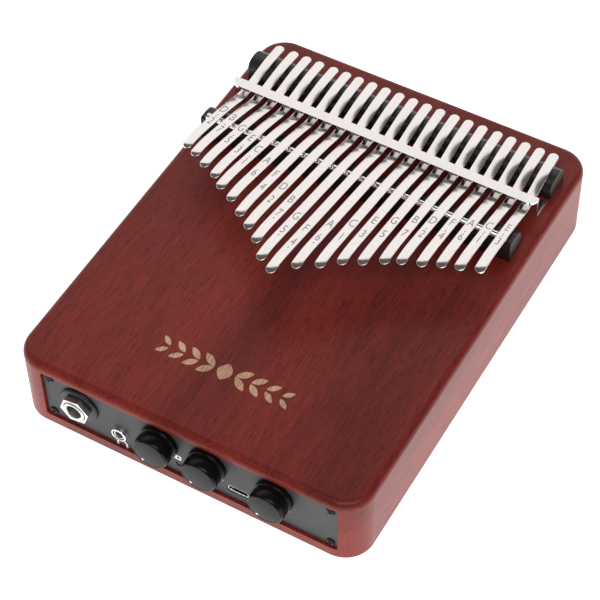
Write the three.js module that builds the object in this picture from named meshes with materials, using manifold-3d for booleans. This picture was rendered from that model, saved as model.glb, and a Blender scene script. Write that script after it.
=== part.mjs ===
// Electro-acoustic thumb piano (kalimba): a hardwood block with 21 spring-steel tines, a slotted
// pressure bracket, two bridges, and a control panel let into the front face.
// Millimetres. Origin: centre of the flat underside. +X right, +Y towards the tine tails, +Z up.

import * as THREE from 'three';
import Module from 'manifold-3d';
import { mergeVertices } from 'three/addons/utils/BufferGeometryUtils.js';

const wasm = await Module();
wasm.setup();

// ---- Body ---------------------------------------------------------------------------------------

const BODY_WIDTH = 150;
const BODY_LENGTH = 198;
const BODY_HEIGHT = 34.8;
const BODY_CORNER = 12;
const TOP_ROUND = 3.2;
const BOTTOM_ROUND = 0.8;

const FRONT_Y = -BODY_LENGTH / 2;
const TOP_Z = BODY_HEIGHT;
const CONTACT_GAP = 0.3;

// ---- Control panel, in a rebate of the front face -----------------------------------------------

const PANEL_X = 2;
const PANEL_Z = 17.9;
const REBATE_WIDTH = 128;
const REBATE_HEIGHT = 25.6;
const REBATE_CORNER = 1.2;
const PANEL_DEPTH = 1.3;
const PANEL_THICK = 1.5;
const PANEL_FRONT = FRONT_Y + PANEL_DEPTH;
const PANEL_BACK = PANEL_FRONT + PANEL_THICK;
const SCREW_INSET_X = 3.2;
const SCREW_INSET_TOP = 3.2;
const SCREW_INSET_BOTTOM = 2.4;

const POCKET = { x0: -54, x1: 58, z0: 6.6, z1: 29.4, y1: -34 };

// Everything on the panel stands on one flat circuit board.
const BOARD = { x0: -53, x1: 56, y0: -94.4, y1: -62, z0: 7.7, z1: 9.3 };
const KNOB_XS = [-9.9, 11.1, 39.5];
const KNOB_Z = 21.4;
const JACK = { x: -45.8, z: 20.1, bore: 3.3, bush: 4.6 };
const PHONES = { x: -28, z: 13.8, bore: 1.75, bush: 2.3 };
const USB = { x: 23.3, z: 10.9, width: 9, height: 3.2, depth: 7.4 };
const LED = { x: -2.5, z: 10.8, radius: 1.0 };

// ---- Tines, bridges and bracket -----------------------------------------------------------------

const TINE_COUNT = 21;
const TINE_MIDDLE = 11;
const TINE_WIDTH = 4.1;
const TINE_THICK = 0.9;
const TINE_PITCH = 6.39;
const TINE_SET_X = 1.1;
const FAN_DEG = 0.176;
const TAIL_Y = 83.7;
const LONGEST_REACH = 69.8;
const CLAMPED = 1.2;
const LEFT_TRIM = 0.3;

// Semitones above the longest tine's note, from the left tine to the right one.
const SEMITONES = [33, 30, 26, 23, 19, 16, 12, 9, 6, 2, 0, 4, 7, 11, 14, 18, 21, 24, 28, 31, 35];
// Tines set a little crooked by hand: tine number to the extra yaw of its tip to the right, in degrees.
const CROOKED = {
  2: -1.3, 3: -1, 4: -0.6, 5: -1.5, 6: -0.8, 13: 0.4, 17: -1, 18: -0.6, 19: -0.6, 20: -0.7,
};

const BAR = { x0: -70.5, x1: 69.5 };
const REAR_BRIDGE = { y0: 69.3, y1: 82.3, height: 9.6, peak: 75 };
const FRONT_BRIDGE = { y0: 32.3, y1: 42.3, height: 10.5 };
const ROD = { y: 33.7, z: 45.9, radius: 1.5, x0: -68, x1: 67.5 };
const ROD_GAP = 0.1;

const BRACKET = {
  halfLength: 69.2, sheet: 1.2, webY: 57, footY: 67.1, lipY: 53.7, top: 46.4, corner: 4,
};
const BRACKET_YAW = -0.15;
const SLOT = { width: 4.9, z0: 42.4, z1: 44.9 };
const BRACKET_SCREW_GAPS = [2.5, 6.5, 11.5, 15.5, 19.5];

// Heights of a tine's upper face where it crosses the supports, and its slopes there. Between the
// bracket's slot, which holds it down, and the rod, it has a slight kink.
const TINE_Z_REAR = TOP_Z + REAR_BRIDGE.height + CONTACT_GAP + TINE_THICK;
const TINE_Z_SLOT = 43.6;
const TINE_Z_ROD = ROD.z + ROD.radius + ROD_GAP + TINE_THICK;
const KINK = { y: 46.6, z: 45.35, riseBehind: 0.36, riseAhead: 0.26 };
const RISE = 0.19;
const END_RISE = -0.12;
const END_LENGTH = 12;

// ---- Materials ----------------------------------------------------------------------------------

function finish(color, roughness, metalness) {
  return new THREE.MeshStandardMaterial({ color, roughness, metalness });
}

const MAHOGANY = () => finish(0x6b2a26, 0.35, 0);
const BLACK_WOOD = () => finish(0x1c1a1c, 0.45, 0);
const NICKEL = () => finish(0xd8d6d2, 0.18, 1);
const CHROME = () => finish(0xe4e4e4, 0.1, 1);
const PANEL_GREY = () => finish(0x6a6a6d, 0.5, 0.4);
const BLACK_PLASTIC = () => finish(0x121214, 0.4, 0);
const BLACK_STEEL = () => finish(0x1a1a1c, 0.35, 0.8);
const BOARD_GREEN = () => finish(0x1f5a36, 0.5, 0);
const BRASS = () => finish(0xb89a4c, 0.3, 1);
const CELL_BLUE = () => finish(0x3a5f9a, 0.4, 0);
const FOAM = () => finish(0x2c2c2e, 0.9, 0);
const LAMP = () => finish(0x8a2020, 0.2, 0);

// ---- Shape helpers ------------------------------------------------------------------------------

const AXIS_X = new THREE.Vector3(1, 0, 0);
const AXIS_Y = new THREE.Vector3(0, 1, 0);
const AXIS_Z = new THREE.Vector3(0, 0, 1);

function toSolid(geometry) {
  geometry.deleteAttribute('normal');
  geometry.deleteAttribute('uv');
  const merged = mergeVertices(geometry, 1e-4);
  const mesh = new wasm.Mesh({
    numProp: 3,
    vertProperties: new Float32Array(merged.getAttribute('position').array),
    triVerts: new Uint32Array(merged.getIndex().array),
  });
  return new wasm.Manifold(mesh);
}

function toGeometry(solid) {
  const mesh = solid.getMesh();
  const geometry = new THREE.BufferGeometry();
  geometry.setAttribute('position', new THREE.BufferAttribute(mesh.vertProperties, 3));
  geometry.setIndex(new THREE.BufferAttribute(mesh.triVerts, 1));
  geometry.computeVertexNormals();
  return geometry;
}

function cut(solid, ...tools) {
  return tools.reduce((left, tool) => left.subtract(tool), solid);
}

function box(x0, x1, y0, y1, z0, z1) {
  const geometry = new THREE.BoxGeometry(x1 - x0, y1 - y0, z1 - z0);
  geometry.translate((x0 + x1) / 2, (y0 + y1) / 2, (z0 + z1) / 2);
  return toSolid(geometry);
}

// A cylinder along Y from y0 to y1.
function rodY(radius, y0, y1, x, z, segments = 24) {
  const geometry = new THREE.CylinderGeometry(radius, radius, y1 - y0, segments);
  geometry.translate(x, (y0 + y1) / 2, z);
  return toSolid(geometry);
}

function rodZ(radius, z0, z1, x, y, segments = 16) {
  const geometry = new THREE.CylinderGeometry(radius, radius, z1 - z0, segments);
  geometry.rotateX(Math.PI / 2);
  geometry.translate(x, y, (z0 + z1) / 2);
  return toSolid(geometry);
}

// A solid of revolution about Y. The outline is [radius, y] pairs from low y to high y.
function turned(outline, x, z, segments = 28) {
  const points = outline.map(([radius, y]) => new THREE.Vector2(radius, y));
  const geometry = new THREE.LatheGeometry(points, segments);
  geometry.translate(x, 0, z);
  return toSolid(geometry);
}

function roundedRect(width, height, radius) {
  const shape = new THREE.Shape();
  const right = width / 2 - radius;
  const top = height / 2 - radius;
  shape.absarc(right, top, radius, 0, Math.PI / 2);
  shape.absarc(-right, top, radius, Math.PI / 2, Math.PI);
  shape.absarc(-right, -top, radius, Math.PI, Math.PI * 1.5);
  shape.absarc(right, -top, radius, Math.PI * 1.5, Math.PI * 2);
  return shape;
}

// Extrudes a shape drawn in (x, y) upwards from z0 to z1.
function extrudeUp(shape, z0, z1, curveSegments = 8) {
  const geometry = new THREE.ExtrudeGeometry(shape, { depth: z1 - z0, bevelEnabled: false, curveSegments });
  geometry.translate(0, 0, z0);
  return toSolid(geometry);
}

// Extrudes a shape drawn in (x, z) from the plane y1 forwards to the plane y0.
function extrudeFront(shape, y0, y1, x, z, curveSegments = 6) {
  const geometry = new THREE.ExtrudeGeometry(shape, { depth: y1 - y0, bevelEnabled: false, curveSegments });
  geometry.applyMatrix4(new THREE.Matrix4().makeBasis(AXIS_X, AXIS_Z, AXIS_Y.clone().negate()));
  geometry.translate(x, y1, z);
  return toSolid(geometry);
}

// Extrudes a section drawn in (y, z) sideways from x0 to x1.
function extrudeSide(shape, x0, x1, curveSegments = 8) {
  const geometry = new THREE.ExtrudeGeometry(shape, { depth: x1 - x0, bevelEnabled: false, curveSegments });
  geometry.applyMatrix4(new THREE.Matrix4().makeBasis(AXIS_Y, AXIS_Z, AXIS_X));
  geometry.translate(x0, 0, 0);
  return toSolid(geometry);
}

// A block with rounded upright corners and one rounding on its top and bottom edges.
function roundedBlock(width, length, z0, z1, corner, round, steps) {
  const shape = roundedRect(width - 2 * round, length - 2 * round, corner - round);
  const geometry = new THREE.ExtrudeGeometry(shape, {
    depth: z1 - z0 - 2 * round,
    bevelThickness: round,
    bevelSize: round,
    bevelSegments: steps,
    curveSegments: 6,
  });
  geometry.translate(0, 0, z0 + round);
  return toSolid(geometry);
}

function wire(points, radius, steps) {
  const path = new THREE.CatmullRomCurve3(points.map(([x, y, z]) => new THREE.Vector3(x, y, z)));
  const section = new THREE.Shape().absarc(0, 0, radius, 0, Math.PI * 2);
  const geometry = new THREE.ExtrudeGeometry(section, { steps, extrudePath: path, curveSegments: 4 });
  return toSolid(geometry);
}

const thumbPiano = new THREE.Group();

function addNode(name, solid, material, parent = thumbPiano) {
  const mesh = new THREE.Mesh(toGeometry(solid), material);
  mesh.name = name;
  parent.add(mesh);
  return mesh;
}

// ---- Places shared by several parts -------------------------------------------------------------

const upperScrewZ = PANEL_Z + REBATE_HEIGHT / 2 - SCREW_INSET_TOP;
const lowerScrewZ = PANEL_Z - REBATE_HEIGHT / 2 + SCREW_INSET_BOTTOM;
const panelScrewPlaces = [upperScrewZ, lowerScrewZ].flatMap((z) => (
  [-1, 1].map((side) => [PANEL_X + side * (REBATE_WIDTH / 2 - SCREW_INSET_X), z])
));

const tineX = (number) => TINE_SET_X + (number - TINE_MIDDLE) * TINE_PITCH;
const BRACKET_SCREW_Y = (BRACKET.webY + BRACKET.sheet + BRACKET.footY) / 2;
const bracketScrewXs = BRACKET_SCREW_GAPS.map(tineX);

// The bracket sits slightly askew: it and its screws turn together about its right end.
function askew(solid) {
  return solid
    .translate([-BRACKET.halfLength, -BRACKET.webY, 0])
    .rotate([0, 0, BRACKET_YAW])
    .translate([BRACKET.halfLength, BRACKET.webY, 0]);
}

// ---- Body block ---------------------------------------------------------------------------------

const SCREW_HOLE = 1.4;
const SCREW_REACH = 8;
const WOOD_SCREW = { shank: 1.4, hole: 1.7, head: 2.3, reach: 11 };

function makeBody() {
  const upper = roundedBlock(BODY_WIDTH, BODY_LENGTH, -20, TOP_Z, BODY_CORNER, TOP_ROUND, 4);
  const lower = roundedBlock(BODY_WIDTH, BODY_LENGTH, 0, TOP_Z + 20, BODY_CORNER, BOTTOM_ROUND, 1);
  const rebateShape = roundedRect(REBATE_WIDTH, REBATE_HEIGHT, REBATE_CORNER);
  const rebate = extrudeFront(rebateShape, FRONT_Y - 5, PANEL_BACK, PANEL_X, PANEL_Z);
  const pocket = box(POCKET.x0, POCKET.x1, FRONT_Y, POCKET.y1, POCKET.z0, POCKET.z1);
  const holes = panelScrewPlaces.map(([x, z]) => (
    rodY(SCREW_HOLE, PANEL_BACK - 1, PANEL_BACK + SCREW_REACH + CONTACT_GAP, x, z, 12)
  ));
  const pilots = bracketScrewXs.map((x) => (
    askew(rodZ(WOOD_SCREW.hole, TOP_Z - WOOD_SCREW.reach - CONTACT_GAP, TOP_Z + 1, x, BRACKET_SCREW_Y, 12))
  ));
  return cut(upper.intersect(lower), rebate, pocket, ...holes, ...pilots);
}

addNode('body_block', makeBody(), MAHOGANY());

// ---- Control panel and its screws ---------------------------------------------------------------

const SHAFT_RADIUS = 3;

function usbSlot(margin) {
  const height = USB.height + 2 * margin;
  return roundedRect(USB.width + 2 * margin, height, height / 2 - 0.01);
}

function makePanel() {
  const gap = 2 * CONTACT_GAP;
  const plate = extrudeFront(
    roundedRect(REBATE_WIDTH - gap, REBATE_HEIGHT - gap, REBATE_CORNER - CONTACT_GAP),
    PANEL_FRONT, PANEL_BACK, PANEL_X, PANEL_Z,
  );
  const through = (radius, x, z) => rodY(radius, PANEL_FRONT - 1, PANEL_BACK + 1, x, z, 16);
  return cut(
    plate,
    through(JACK.bush + CONTACT_GAP, JACK.x, JACK.z),
    through(PHONES.bush + CONTACT_GAP, PHONES.x, PHONES.z),
    through(LED.radius + CONTACT_GAP, LED.x, LED.z),
    ...KNOB_XS.map((x) => through(SHAFT_RADIUS + 0.6, x, KNOB_Z)),
    ...panelScrewPlaces.map(([x, z]) => through(SCREW_HOLE, x, z)),
    extrudeFront(usbSlot(CONTACT_GAP), PANEL_FRONT - 1, PANEL_BACK + 1, USB.x, USB.z),
  );
}

function makePanelScrew([x, z]) {
  const outline = [
    [0, PANEL_FRONT - 0.95],
    [0.9, PANEL_FRONT - 0.9],
    [1.55, PANEL_FRONT - 0.55],
    [1.8, PANEL_FRONT],
    [1.1, PANEL_FRONT],
    [1.1, PANEL_BACK + SCREW_REACH],
    [0, PANEL_BACK + SCREW_REACH],
  ];
  return turned(outline, x, z, 16);
}

addNode('control_panel', makePanel(), PANEL_GREY());
panelScrewPlaces.forEach((place, index) => {
  addNode(`panel_screw_${index + 1}`, makePanelScrew(place), BLACK_STEEL());
});

// ---- Output socket (6.35 mm) --------------------------------------------------------------------

const BEZEL = { radius: 8.4, thick: 1.6 };
const NUT = { acrossCorners: 13.1, thick: 2.7, turnDeg: 20 };
const BEZEL_FRONT = PANEL_FRONT - BEZEL.thick;
const NUT_FRONT = BEZEL_FRONT - NUT.thick;
const BUSH_FRONT = NUT_FRONT - 0.4;
const HOUSING_FRONT = PANEL_BACK + CONTACT_GAP;

function makeBezel() {
  const inner = JACK.bush + CONTACT_GAP;
  const outline = [
    [inner, BEZEL_FRONT],
    [BEZEL.radius - 1.1, BEZEL_FRONT],
    [BEZEL.radius - 0.3, BEZEL_FRONT + 0.4],
    [BEZEL.radius, BEZEL_FRONT + 1],
    [BEZEL.radius, PANEL_FRONT],
    [inner, PANEL_FRONT],
    [inner, BEZEL_FRONT],
  ];
  return turned(outline, JACK.x, JACK.z);
}

function makeNut() {
  const hexagon = rodY(NUT.acrossCorners / 2, NUT_FRONT, BEZEL_FRONT, 0, 0, 6)
    .rotate([0, NUT.turnDeg, 0])
    .translate([JACK.x, 0, JACK.z]);
  return cut(hexagon, rodY(JACK.bush + CONTACT_GAP, NUT_FRONT - 1, BEZEL_FRONT + 1, JACK.x, JACK.z, 24));
}

// The threaded metal bush of a socket, from its mouth back to the moulded case.
function makeBush({ x, z, bore, bush }, front) {
  const tube = rodY(bush, front, HOUSING_FRONT, x, z);
  return cut(tube, rodY(bore, front - 1, HOUSING_FRONT + 1, x, z));
}

function makeJackCase() {
  const block = box(JACK.x - 7.7, JACK.x + 8, HOUSING_FRONT, -66, BOARD.z1, JACK.z + 8.2);
  return cut(block, rodY(JACK.bore, HOUSING_FRONT - 1, -69, JACK.x, JACK.z));
}

addNode('output_bezel', makeBezel(), BLACK_PLASTIC());
addNode('output_nut', makeNut(), CHROME());
addNode('output_bush', makeBush(JACK, BUSH_FRONT), CHROME());
addNode('output_jack', makeJackCase(), BLACK_PLASTIC());

// ---- Headphone socket (3.5 mm) ------------------------------------------------------------------

const RING_FRONT = PANEL_FRONT - 1.9;

function makePhonesRing() {
  const inner = PHONES.bush + CONTACT_GAP;
  const outline = [
    [inner, RING_FRONT],
    [inner + 0.5, RING_FRONT],
    [inner + 0.7, RING_FRONT + 0.3],
    [inner + 0.7, PANEL_FRONT],
    [inner, PANEL_FRONT],
    [inner, RING_FRONT],
  ];
  return turned(outline, PHONES.x, PHONES.z, 20);
}

function makePhonesCase() {
  const block = box(PHONES.x - 4.5, PHONES.x + 4.5, HOUSING_FRONT, -83, BOARD.z1, PHONES.z + 4.5);
  return cut(block, rodY(PHONES.bore, HOUSING_FRONT - 1, -84.5, PHONES.x, PHONES.z, 16));
}

addNode('headphone_ring', makePhonesRing(), CHROME());
addNode('headphone_bush', makeBush(PHONES, RING_FRONT + 0.2), CHROME());
addNode('headphone_jack', makePhonesCase(), BLACK_PLASTIC());

// ---- Knobs and potentiometers -------------------------------------------------------------------

const KNOB_BACK = PANEL_FRONT - CONTACT_GAP;
const KNOB_FRONT = PANEL_FRONT - 8.3;
const SHAFT_END = KNOB_FRONT + 2.2;
const POT = { half: 4.9, depth: 11, top: 5.5, blind: 7 };

// The knob's outline, from the face backwards: face, bevel, grip, waist, skirt, shaft bore.
function makeKnob(x) {
  const bore = SHAFT_RADIUS + 0.05;
  const outline = [
    [0, KNOB_FRONT],
    [6.0, KNOB_FRONT + 0.1],
    [6.5, KNOB_FRONT + 0.7],
    [7.3, KNOB_FRONT + 2.0],
    [7.6, KNOB_FRONT + 3.4],
    [7.6, KNOB_FRONT + 5.0],
    [7.1, KNOB_FRONT + 5.3],
    [7.1, KNOB_FRONT + 5.9],
    [7.9, KNOB_FRONT + 6.2],
    [8.0, KNOB_BACK],
    [bore, KNOB_BACK],
    [bore, SHAFT_END - 0.1],
    [0, SHAFT_END - 0.1],
  ];
  return turned(outline, x, KNOB_Z, 24);
}

function makePot(x) {
  const back = HOUSING_FRONT + POT.depth;
  const can = box(x - POT.half, x + POT.half, HOUSING_FRONT, back, BOARD.z1, KNOB_Z + POT.top);
  const well = rodY(SHAFT_RADIUS + CONTACT_GAP, PANEL_BACK - 1, HOUSING_FRONT + POT.blind, x, KNOB_Z, 16);
  return cut(can, well);
}

function makeShaft(x) {
  return rodY(SHAFT_RADIUS, SHAFT_END, HOUSING_FRONT + POT.blind - CONTACT_GAP, x, KNOB_Z, 16);
}

KNOB_XS.forEach((x, index) => {
  addNode(`knob_${index + 1}`, makeKnob(x), BLACK_PLASTIC());
  addNode(`pot_shaft_${index + 1}`, makeShaft(x), NICKEL());
  addNode(`potentiometer_${index + 1}`, makePot(x), BLACK_STEEL());
});

// ---- Charging socket, lamp, board, battery and pickup -------------------------------------------

function makeUsbSocket() {
  const wall = 0.35;
  const front = PANEL_FRONT + 0.3;
  const shell = extrudeFront(usbSlot(0), front, front + USB.depth, USB.x, USB.z);
  const inside = extrudeFront(usbSlot(-wall), front - 1, front + USB.depth - 1.2, USB.x, USB.z);
  const back = front + USB.depth - 1;
  const tongue = box(USB.x - 3.3, USB.x + 3.3, front + 0.8, back, USB.z - 0.35, USB.z + 0.35);
  return cut(shell, inside).add(tongue);
}

function makeLed() {
  const outline = [
    [0, PANEL_FRONT + 0.1],
    [0.7, PANEL_FRONT + 0.3],
    [LED.radius, PANEL_FRONT + 0.8],
    [LED.radius, BOARD.y0 + 2],
    [0, BOARD.y0 + 2],
  ];
  return turned(outline, LED.x, LED.z, 12);
}

const BATTERY = { x0: -45, x1: 5, y0: -59, y1: -37, z0: 7.5, z1: 15.5 };
const PAD = { x0: -41, x1: 1, y0: -56, y1: -40, z0: POCKET.z0, z1: BATTERY.z0 };
const PICKUP = { x: 28, y: -50, radius: 10, thick: 0.5 };

function slab({ x0, x1, y0, y1, z0, z1 }) {
  return box(x0, x1, y0, y1, z0, z1);
}

addNode('usb_socket', makeUsbSocket(), CHROME());
addNode('status_led', makeLed(), LAMP());
addNode('circuit_board', slab(BOARD), BOARD_GREEN());
addNode('battery_pad', slab(PAD), FOAM());
addNode('battery', slab(BATTERY), CELL_BLUE());
addNode(
  'pickup_disc',
  rodZ(PICKUP.radius, POCKET.z1 - PICKUP.thick, POCKET.z1, PICKUP.x, PICKUP.y, 28),
  BRASS(),
);

const WIRE_RADIUS = 0.6;
const boardPad = BOARD.z1 + WIRE_RADIUS + CONTACT_GAP;

addNode('pickup_wire', wire([
  [PICKUP.x, PICKUP.y, POCKET.z1 - PICKUP.thick - CONTACT_GAP],
  [PICKUP.x, PICKUP.y - 1, POCKET.z1 - 4],
  [PICKUP.x - 2, PICKUP.y - 6, 18],
  [PICKUP.x - 4, PICKUP.y - 10, 12],
  [PICKUP.x - 5, BOARD.y1 - 1, boardPad + 0.5],
  [PICKUP.x - 5, BOARD.y1 - 5, boardPad],
], WIRE_RADIUS, 16), BLACK_PLASTIC());

addNode('battery_wire', wire([
  [BATTERY.x1 + CONTACT_GAP, -48, 12],
  [BATTERY.x1 + 3, -48, 12],
  [BATTERY.x1 + 6, -52, 11.5],
  [BATTERY.x1 + 6, -58, 11],
  [BATTERY.x1 + 5, BOARD.y1 - 1, boardPad + 0.3],
  [BATTERY.x1 + 5, BOARD.y1 - 5, boardPad],
], WIRE_RADIUS, 14), BLACK_PLASTIC());

// ---- Bridges and saddle rod ---------------------------------------------------------------------

function makeRearBridge() {
  const { y0, y1, height, peak } = REAR_BRIDGE;
  const top = TOP_Z + height;
  const section = new THREE.Shape();
  section.moveTo(y0, TOP_Z);
  section.lineTo(y1, TOP_Z);
  section.lineTo(y1, TOP_Z + 3);
  section.quadraticCurveTo(y1 - 2, top, peak, top);
  section.quadraticCurveTo(y0, top, y0, TOP_Z + 4);
  section.closePath();
  return extrudeSide(section, BAR.x0, BAR.x1);
}

function makeFrontBridge() {
  const { y0, y1, height } = FRONT_BRIDGE;
  const top = TOP_Z + height;
  const section = new THREE.Shape();
  section.moveTo(y0, TOP_Z);
  section.lineTo(y1, TOP_Z);
  section.lineTo(y1, TOP_Z + 6);
  section.quadraticCurveTo(y1 - 0.5, top - 0.6, ROD.y + 3, top);
  section.lineTo(ROD.y - 0.4, top);
  section.quadraticCurveTo(y0, top, y0, top - 1.8);
  section.closePath();
  const bar = extrudeSide(section, BAR.x0, BAR.x1);
  const groove = new THREE.Shape().absarc(ROD.y, ROD.z, ROD.radius + CONTACT_GAP, 0, Math.PI * 2);
  return cut(bar, extrudeSide(groove, ROD.x0 - CONTACT_GAP, ROD.x1 + CONTACT_GAP));
}

function makeRod() {
  const section = new THREE.Shape().absarc(ROD.y, ROD.z, ROD.radius, 0, Math.PI * 2);
  return extrudeSide(section, ROD.x0, ROD.x1, 8);
}

addNode('rear_bridge', makeRearBridge(), BLACK_WOOD());
addNode('front_bridge', makeFrontBridge(), BLACK_WOOD());
addNode('saddle_rod', makeRod(), CHROME());

// ---- Pressure bracket ---------------------------------------------------------------------------

function makeBracket() {
  const { halfLength, sheet, webY, footY, lipY, top, corner } = BRACKET;
  const section = new THREE.Shape([
    [webY, TOP_Z],
    [footY, TOP_Z],
    [footY, TOP_Z + sheet],
    [webY + sheet, TOP_Z + sheet],
    [webY + sheet, top],
    [lipY, top],
    [lipY, top - sheet],
    [webY, top - sheet],
  ].map(([y, z]) => new THREE.Vector2(y, z)));
  const outline = new THREE.Shape();
  outline.moveTo(-halfLength, footY + 1);
  outline.lineTo(-halfLength, lipY + corner);
  outline.absarc(corner - halfLength, lipY + corner, corner, Math.PI, Math.PI * 1.5);
  outline.absarc(halfLength - corner, lipY + corner, corner, Math.PI * 1.5, Math.PI * 2);
  outline.lineTo(halfLength, footY + 1);
  outline.closePath();
  const sheetMetal = extrudeSide(section, -halfLength - 1, halfLength + 1)
    .intersect(extrudeUp(outline, TOP_Z - 1, top + 1, 5));
  const slots = [];
  for (let number = 1; number <= TINE_COUNT; number += 1) {
    const x = tineX(number);
    slots.push(box(x - SLOT.width / 2, x + SLOT.width / 2, webY - 1, webY + sheet + 1, SLOT.z0, SLOT.z1));
  }
  const holes = bracketScrewXs.map((x) => (
    rodZ(WOOD_SCREW.hole, TOP_Z - 1, TOP_Z + 3, x, BRACKET_SCREW_Y, 12)
  ));
  return askew(cut(sheetMetal, ...slots, ...holes));
}

function makeBracketScrew(x) {
  const seat = TOP_Z + BRACKET.sheet;
  const shank = rodZ(WOOD_SCREW.shank, TOP_Z - WOOD_SCREW.reach, seat + 1, x, BRACKET_SCREW_Y, 12);
  return askew(shank.add(rodZ(WOOD_SCREW.head, seat, seat + 1.8, x, BRACKET_SCREW_Y, 16)));
}

addNode('z_bracket', makeBracket(), CHROME());
bracketScrewXs.forEach((x, index) => {
  addNode(`bracket_screw_${index + 1}`, makeBracketScrew(x), NICKEL());
});

// ---- Tines --------------------------------------------------------------------------------------

// A bar's pitch goes with the inverse square of its free length, so an octave halves the length squared.
function tineReach(number) {
  const trim = LEFT_TRIM * Math.max(0, TINE_MIDDLE - number);
  return LONGEST_REACH * 2 ** (-SEMITONES[number - 1] / 24) - CLAMPED - trim;
}

// A smooth step between two heights, with a slope (height gained per millimetre forwards) at each end.
function blendHeight(y, from, to) {
  const span = from.y - to.y;
  const t = (from.y - y) / span;
  const t2 = t * t;
  const t3 = t2 * t;
  return (2 * t3 - 3 * t2 + 1) * from.z + (t3 - 2 * t2 + t) * span * from.rise
    + (3 * t2 - 2 * t3) * to.z + (t3 - t2) * span * to.rise;
}

const AT_REAR = { y: REAR_BRIDGE.peak, z: TINE_Z_REAR, rise: -0.03 };
const AT_SLOT = { y: BRACKET.webY, z: TINE_Z_SLOT, rise: 0 };
const BEHIND_KINK = { y: KINK.y, z: KINK.z, rise: KINK.riseBehind };
const AHEAD_OF_KINK = { y: KINK.y, z: KINK.z, rise: KINK.riseAhead };
const AT_ROD = { y: ROD.y, z: TINE_Z_ROD, rise: RISE };

// Height of a tine's upper face at y, for a tine whose end is turned down forward of bendY.
function tineHeight(y, bendY) {
  if (y >= AT_REAR.y) {
    return AT_REAR.z;
  }
  if (y >= AT_SLOT.y) {
    return blendHeight(y, AT_REAR, AT_SLOT);
  }
  if (y >= KINK.y) {
    return blendHeight(y, AT_SLOT, BEHIND_KINK);
  }
  if (y >= AT_ROD.y) {
    return blendHeight(y, AHEAD_OF_KINK, AT_ROD);
  }
  const straight = AT_ROD.z + RISE * (AT_ROD.y - Math.max(y, bendY));
  const past = Math.max(0, bendY - y);
  return straight + RISE * past - (RISE - END_RISE) * past ** 2 / (2 * END_LENGTH);
}

function makeTine(number) {
  const tipY = ROD.y - tineReach(number);
  const bendY = tipY + END_LENGTH;
  const stations = [TAIL_Y, 79, 75, 71, 67, 63, 60, 57, 54, 50, KINK.y, 42, 38, ROD.y];
  for (const past of [0, 0.25, 0.5, 0.75, 1]) {
    stations.push(bendY - past * END_LENGTH);
  }
  const upper = stations.map((y) => new THREE.Vector2(y - BRACKET.webY, tineHeight(y, bendY)));
  const lower = upper.map((point) => new THREE.Vector2(point.x, point.y - TINE_THICK)).reverse();
  const strip = extrudeSide(new THREE.Shape([...upper, ...lower]), -TINE_WIDTH, TINE_WIDTH);

  const half = TINE_WIDTH / 2;
  const plan = new THREE.Shape();
  plan.absarc(0, TAIL_Y - BRACKET.webY - half, half, 0, Math.PI);
  plan.absarc(0, tipY - BRACKET.webY + half, half, Math.PI, Math.PI * 2);
  return strip.intersect(extrudeUp(plan, TOP_Z, TOP_Z + 40, 5));
}

for (let number = 1; number <= TINE_COUNT; number += 1) {
  const label = String(number).padStart(2, '0');
  const tine = addNode(`tine_${label}`, makeTine(number), NICKEL());
  const yaw = (number - TINE_MIDDLE) * FAN_DEG + (CROOKED[number] ?? 0);
  tine.position.set(tineX(number), BRACKET.webY, 0);
  tine.rotation.z = THREE.MathUtils.degToRad(yaw);
}

export default thumbPiano;
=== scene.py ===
import math

import bmesh
import bpy
from mathutils import Matrix, Vector


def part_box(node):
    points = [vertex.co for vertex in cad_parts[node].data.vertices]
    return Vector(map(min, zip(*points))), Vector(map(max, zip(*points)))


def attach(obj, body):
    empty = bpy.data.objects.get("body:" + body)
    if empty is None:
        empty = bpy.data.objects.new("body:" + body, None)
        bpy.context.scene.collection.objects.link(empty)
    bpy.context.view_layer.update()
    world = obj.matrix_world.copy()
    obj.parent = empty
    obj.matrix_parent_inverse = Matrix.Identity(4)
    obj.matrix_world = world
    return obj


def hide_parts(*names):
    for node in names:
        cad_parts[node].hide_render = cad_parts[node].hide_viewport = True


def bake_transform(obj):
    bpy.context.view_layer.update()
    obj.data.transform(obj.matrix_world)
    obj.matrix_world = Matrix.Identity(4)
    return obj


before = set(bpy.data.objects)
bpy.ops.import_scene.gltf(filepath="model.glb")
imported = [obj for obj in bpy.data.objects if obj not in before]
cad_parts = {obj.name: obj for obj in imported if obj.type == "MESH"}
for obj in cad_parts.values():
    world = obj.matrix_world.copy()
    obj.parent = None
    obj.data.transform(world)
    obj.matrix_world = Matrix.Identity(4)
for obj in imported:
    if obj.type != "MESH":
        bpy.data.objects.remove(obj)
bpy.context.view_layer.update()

MM = 0.001
HOUSING = "housing"


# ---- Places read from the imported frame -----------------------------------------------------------


def centre(node):
    low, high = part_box(node)
    return (Vector(low) + Vector(high)) / 2


def low(node, axis):
    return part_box(node)[0][axis]


def high(node, axis):
    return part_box(node)[1][axis]


BODY_LOW, BODY_HIGH = (Vector(corner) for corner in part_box("body_block"))
PANEL_LOW, PANEL_HIGH = (Vector(corner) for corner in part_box("control_panel"))
TOP = BODY_HIGH.z
PANEL_FRONT = PANEL_LOW.y
PANEL_BACK = PANEL_HIGH.y
GAP = 0.3 * MM
OUTPUT_BORE = 3.3 * MM
PHONES_BORE = 1.75 * MM


# ---- Materials -----------------------------------------------------------------------------------


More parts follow.
